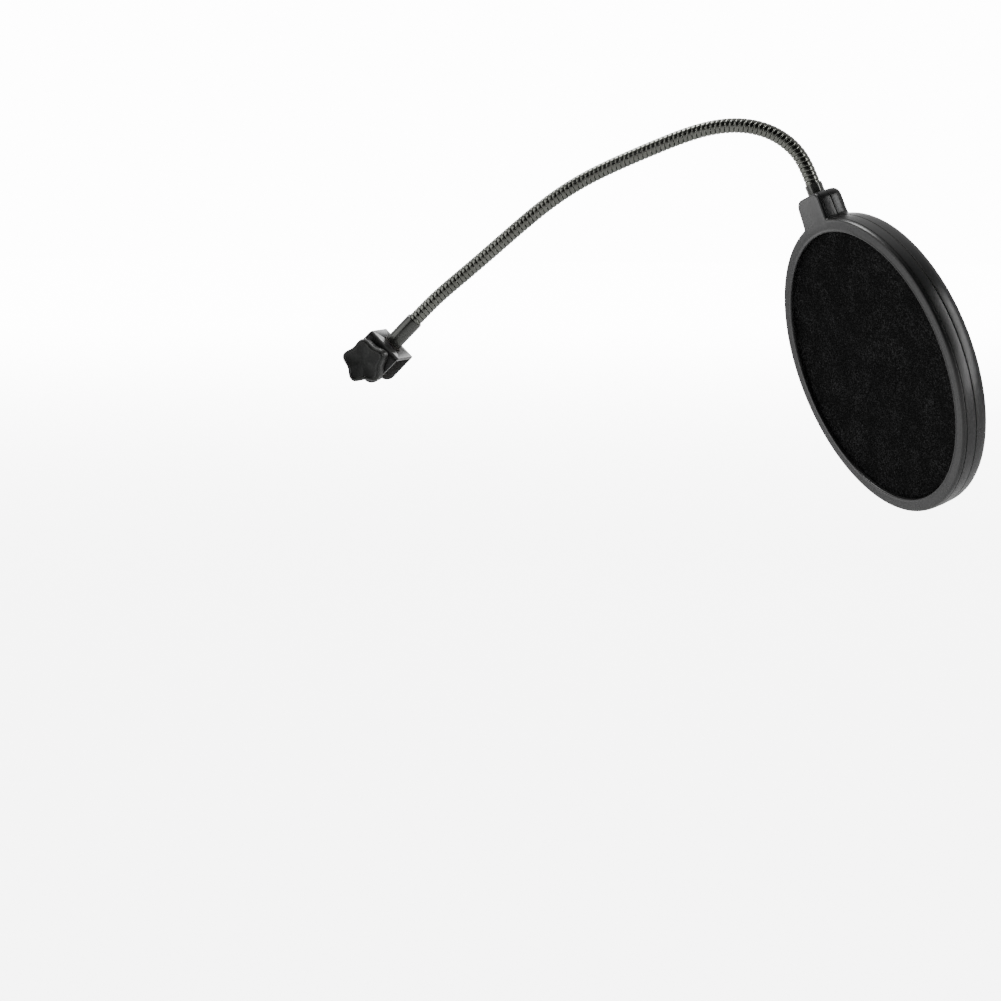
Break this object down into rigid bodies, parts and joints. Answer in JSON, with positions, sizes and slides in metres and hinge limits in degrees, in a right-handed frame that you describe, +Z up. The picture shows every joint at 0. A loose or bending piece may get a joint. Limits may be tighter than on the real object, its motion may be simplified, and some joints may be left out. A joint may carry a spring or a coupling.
{
  "type": "pop filter",
  "caption": "Round double-mesh pop filter on a ridged gooseneck with a small U-shaped screw clamp and lobed knob.",
  "frame": {"origin": "middle of the fixed jaw's rubber pad, on the face that the clamped bar bears on", "axes": "+Z up; the clamp screw runs along Y with its knob towards -Y; the neck bends in a plane parallel to XZ and carries the screen towards +X"},
  "size_m": [0.3357, 0.1309, 0.1985],
  "materials": {
    "black_coat": "satin black powder coat",
    "black_rubber": "matte",
    "zinc_steel": "zinc plated",
    "knob_plastic": "fine moulded grain",
    "fibre": "matte",
    "ferrule_black": "glossy black",
    "neck_wrap": "black oxide, oiled",
    "neck_coil": "spring steel",
    "frame_plastic": "satin moulded",
    "hoop_plastic": "moulded",
    "mesh_nylon": "fine knitted nylon",
    "black_screw": "black oxide"
  },
  "bodies": {
    "clamp": {"clamp_bracket": "black_coat", "fixed_jaw_pad": "black_rubber", "screw_insert": "zinc_steel"},
    "pressure_jaw": {"pressure_foot": "zinc_steel", "foot_rubber": "black_rubber"},
    "screw": {"clamp_screw": "zinc_steel", "clamp_knob": "knob_plastic"},
    "neck_01": {"neck_screw": "zinc_steel", "neck_lock_washer": "zinc_steel", "fibre_washer": "fibre", "lower_ferrule": "ferrule_black", "neck_wrap_01": "neck_wrap", "neck_coil_01": "neck_coil"},
    "neck_02": {"neck_wrap_02": "neck_wrap", "neck_coil_02": "neck_coil"},
    "neck_03": {"neck_wrap_03": "neck_wrap", "neck_coil_03": "neck_coil"},
    "neck_04": {"neck_wrap_04": "neck_wrap", "neck_coil_04": "neck_coil"},
    "neck_05": {"neck_wrap_05": "neck_wrap", "neck_coil_05": "neck_coil"},
    "neck_06": {"neck_wrap_06": "neck_wrap", "neck_coil_06": "neck_coil"},
    "neck_07": {"neck_wrap_07": "neck_wrap", "neck_coil_07": "neck_coil"},
    "neck_08": {"neck_wrap_08": "neck_wrap", "neck_coil_08": "neck_coil"},
    "neck_09": {"neck_wrap_09": "neck_wrap", "neck_coil_09": "neck_coil"},
    "neck_10": {"neck_wrap_10": "neck_wrap", "neck_coil_10": "neck_coil"},
    "neck_11": {"neck_wrap_11": "neck_wrap", "neck_coil_11": "neck_coil"},
    "neck_12": {"neck_wrap_12": "neck_wrap", "neck_coil_12": "neck_coil"},
    "neck_13": {"neck_wrap_13": "neck_wrap", "neck_coil_13": "neck_coil"},
    "neck_14": {"neck_wrap_14": "neck_wrap", "neck_coil_14": "neck_coil"},
    "neck_15": {"neck_wrap_15": "neck_wrap", "neck_coil_15": "neck_coil"},
    "head": {"neck_wrap_16": "neck_wrap", "neck_coil_16": "neck_coil", "upper_ferrule": "ferrule_black", "front_ring": "frame_plastic", "rear_ring": "frame_plastic", "front_mesh": "mesh_nylon", "rear_mesh": "mesh_nylon", "front_mesh_hoop": "hoop_plastic", "rear_mesh_hoop": "hoop_plastic", "spacer_hoop": "hoop_plastic", "boss_screws": "black_screw"}
  },
  "joints": [
    {"name": "jaw_slide", "type": "slide", "parent": "clamp", "child": "pressure_jaw", "axis": [0, -1, 0], "range_m": [0, 0.007]},
    {"name": "knob_turn", "type": "hinge", "parent": "pressure_jaw", "child": "screw", "pos_m": [0, 0, 0], "axis": [0, -1, 0], "range_deg": [0, 2520]},
    {"name": "neck_swivel", "type": "hinge", "parent": "clamp", "child": "neck_01", "pos_m": [0.00849, -0.0103, 0.00849], "axis": [0.7071, 0, 0.7071], "range_deg": [-90, 90]},
    {"name": "neck_bend_01", "type": "hinge", "parent": "neck_01", "child": "neck_02", "pos_m": [0.03253, -0.0103, 0.03253], "axis": [0, 1, 0], "range_deg": [-5, 5]},
    {"name": "neck_bend_02", "type": "hinge", "parent": "neck_02", "child": "neck_03", "pos_m": [0.04496, -0.0103, 0.0426], "axis": [0, 1, 0], "range_deg": [-5.01, 5.01]},
    {"name": "neck_bend_03", "type": "hinge", "parent": "neck_03", "child": "neck_04", "pos_m": [0.0574, -0.0103, 0.05267], "axis": [0, 1, 0], "range_deg": [-5.01, 5.01]},
    {"name": "neck_bend_04", "type": "hinge", "parent": "neck_04", "child": "neck_05", "pos_m": [0.06965, -0.0103, 0.06295], "axis": [0, 1, 0], "range_deg": [-5.01, 5.01]},
    {"name": "neck_bend_05", "type": "hinge", "parent": "neck_05", "child": "neck_06", "pos_m": [0.08191, -0.0103, 0.07323], "axis": [0, 1, 0], "range_deg": [-5.01, 5.01]},
    {"name": "neck_bend_06", "type": "hinge", "parent": "neck_06", "child": "neck_07", "pos_m": [0.09452, -0.0103, 0.08309], "axis": [0, 1, 0], "range_deg": [-5.01, 5.01]},
    {"name": "neck_bend_07", "type": "hinge", "parent": "neck_07", "child": "neck_08", "pos_m": [0.10794, -0.0103, 0.0918], "axis": [0, 1, 0], "range_deg": [-5.01, 5.01]},
    {"name": "neck_bend_08", "type": "hinge", "parent": "neck_08", "child": "neck_09", "pos_m": [0.12219, -0.0103, 0.09906], "axis": [0, 1, 0], "range_deg": [-5.01, 5.01]},
    {"name": "neck_bend_09", "type": "hinge", "parent": "neck_09", "child": "neck_10", "pos_m": [0.13692, -0.0103, 0.10531], "axis": [0, 1, 0], "range_deg": [-1.01, 0.22]},
    {"name": "neck_bend_10", "type": "hinge", "parent": "neck_10", "child": "neck_11", "pos_m": [0.15176, -0.0103, 0.11131], "axis": [0, 1, 0], "range_deg": [-1.01, 0.22]},
    {"name": "neck_bend_11", "type": "hinge", "parent": "neck_11", "child": "neck_12", "pos_m": [0.16669, -0.0103, 0.11704], "axis": [0, 1, 0], "range_deg": [-6.01, 1.3]},
    {"name": "neck_bend_12", "type": "hinge", "parent": "neck_12", "child": "neck_13", "pos_m": [0.18215, -0.0103, 0.12118], "axis": [0, 1, 0], "range_deg": [-13.01, 2.8]},
    {"name": "neck_bend_13", "type": "hinge", "parent": "neck_13", "child": "neck_14", "pos_m": [0.19814, -0.0103, 0.12174], "axis": [0, 1, 0], "range_deg": [-19.01, 4.08]},
    {"name": "neck_bend_14", "type": "hinge", "parent": "neck_14", "child": "neck_15", "pos_m": [0.21344, -0.0103, 0.11706], "axis": [0, 1, 0], "range_deg": [-23.01, 4.94]},
    {"name": "neck_bend_15", "type": "hinge", "parent": "neck_15", "child": "head", "pos_m": [0.2257, -0.0103, 0.10678], "axis": [0, 1, 0], "range_deg": [-28, 6]}
  ],
  "couplings": [
    {"joint": "knob_turn", "follows": "jaw_slide", "rad_per_m": 6283.2},
    {"joint": "neck_bend_02", "follows": "neck_bend_01", "ratio": 1},
    {"joint": "neck_bend_03", "follows": "neck_bend_01", "ratio": 1},
    {"joint": "neck_bend_04", "follows": "neck_bend_01", "ratio": 1},
    {"joint": "neck_bend_05", "follows": "neck_bend_01", "ratio": 1},
    {"joint": "neck_bend_06", "follows": "neck_bend_01", "ratio": 1},
    {"joint": "neck_bend_07", "follows": "neck_bend_01", "ratio": 1},
    {"joint": "neck_bend_08", "follows": "neck_bend_01", "ratio": 1},
    {"joint": "neck_bend_09", "follows": "neck_bend_15", "ratio": 0.035714},
    {"joint": "neck_bend_10", "follows": "neck_bend_15", "ratio": 0.035714},
    {"joint": "neck_bend_11", "follows": "neck_bend_15", "ratio": 0.21429},
    {"joint": "neck_bend_12", "follows": "neck_bend_15", "ratio": 0.46429},
    {"joint": "neck_bend_13", "follows": "neck_bend_15", "ratio": 0.67857},
    {"joint": "neck_bend_14", "follows": "neck_bend_15", "ratio": 0.82143}
  ]
}
